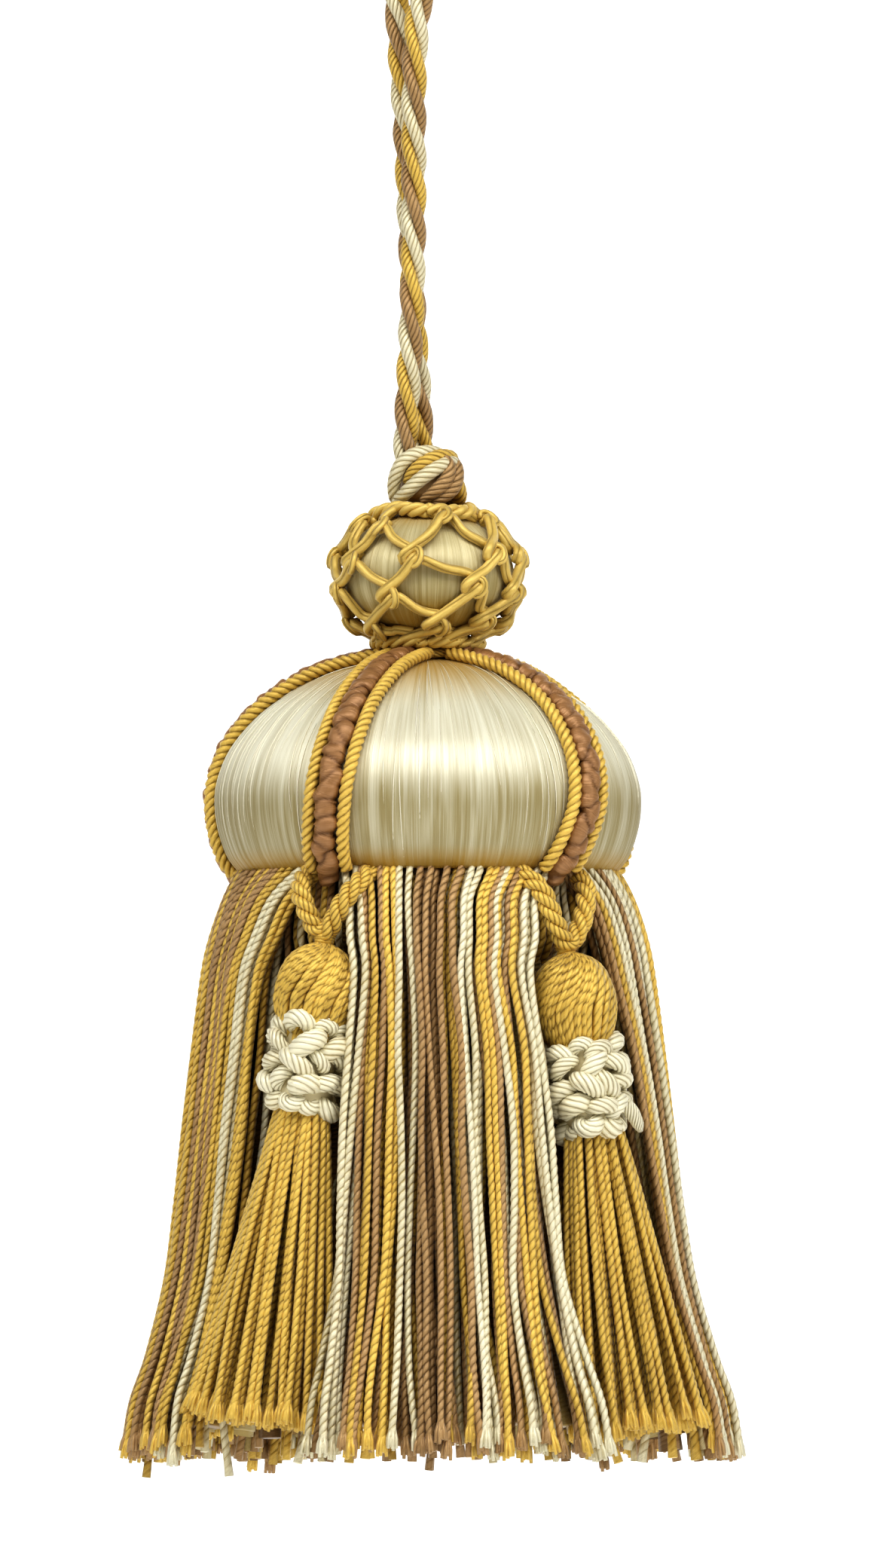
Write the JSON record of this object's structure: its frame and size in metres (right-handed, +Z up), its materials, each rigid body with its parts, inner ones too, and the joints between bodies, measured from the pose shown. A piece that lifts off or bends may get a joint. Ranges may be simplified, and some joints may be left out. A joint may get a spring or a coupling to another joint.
{
  "type": "silk key tassel",
  "caption": "Decorative silk key tassel on a twisted cord loop: a netted ball over a ribbed, floss-wound dome and a long twisted-yarn skirt hung round with small tassels.",
  "frame": {"origin": "inside top of the hanging loop, where the hook or key holds it", "axes": "+Z up along the cord, -Y towards the viewer"},
  "size_m": [0.1021, 0.102, 0.2682],
  "materials": {
    "hanging_cord": "silk cord of three plies, brown, gold and cream",
    "knot_cord": "the same cord, wrapped into a knot",
    "cream_floss": "glossy cream silk floss, laid upright side by side",
    "gold_gimp": "smooth gold gimp with a soft sheen",
    "brown_wrap": "crimped brown floss wrap",
    "gold_cord": "twisted gold silk cord",
    "skirt_yarn": "twisted silk yarns in cream, gold and taupe",
    "gold_yarn": "twisted gold silk yarn",
    "cream_cord": "knotted cream silk cord"
  },
  "bodies": {
    "root": {"hanging_loop": "hanging_cord", "top_knot": "knot_cord", "ball": "cream_floss", "ball_net": "gold_gimp", "dome": "cream_floss", "rib_1": "brown_wrap", "rib_2": "brown_wrap", "rib_3": "brown_wrap", "rib_4": "brown_wrap", "rib_5": "brown_wrap", "edge_cord_1_left": "gold_cord", "edge_cord_1_right": "gold_cord", "edge_cord_2_left": "gold_cord", "edge_cord_2_right": "gold_cord", "edge_cord_3_left": "gold_cord", "edge_cord_3_right": "gold_cord", "edge_cord_4_left": "gold_cord", "edge_cord_4_right": "gold_cord", "edge_cord_5_left": "gold_cord", "edge_cord_5_right": "gold_cord", "skirt": "skirt_yarn", "swag_1": "gold_cord", "swag_2": "gold_cord", "swag_3": "gold_cord", "swag_4": "gold_cord", "swag_5": "gold_cord", "small_tassel_1": "gold_yarn", "small_tassel_2": "gold_yarn", "small_tassel_3": "gold_yarn", "small_tassel_4": "gold_yarn", "small_tassel_5": "gold_yarn", "collar_1": "cream_cord", "collar_2": "cream_cord", "collar_3": "cream_cord", "collar_4": "cream_cord", "collar_5": "cream_cord"}
  },
  "joints": []
}
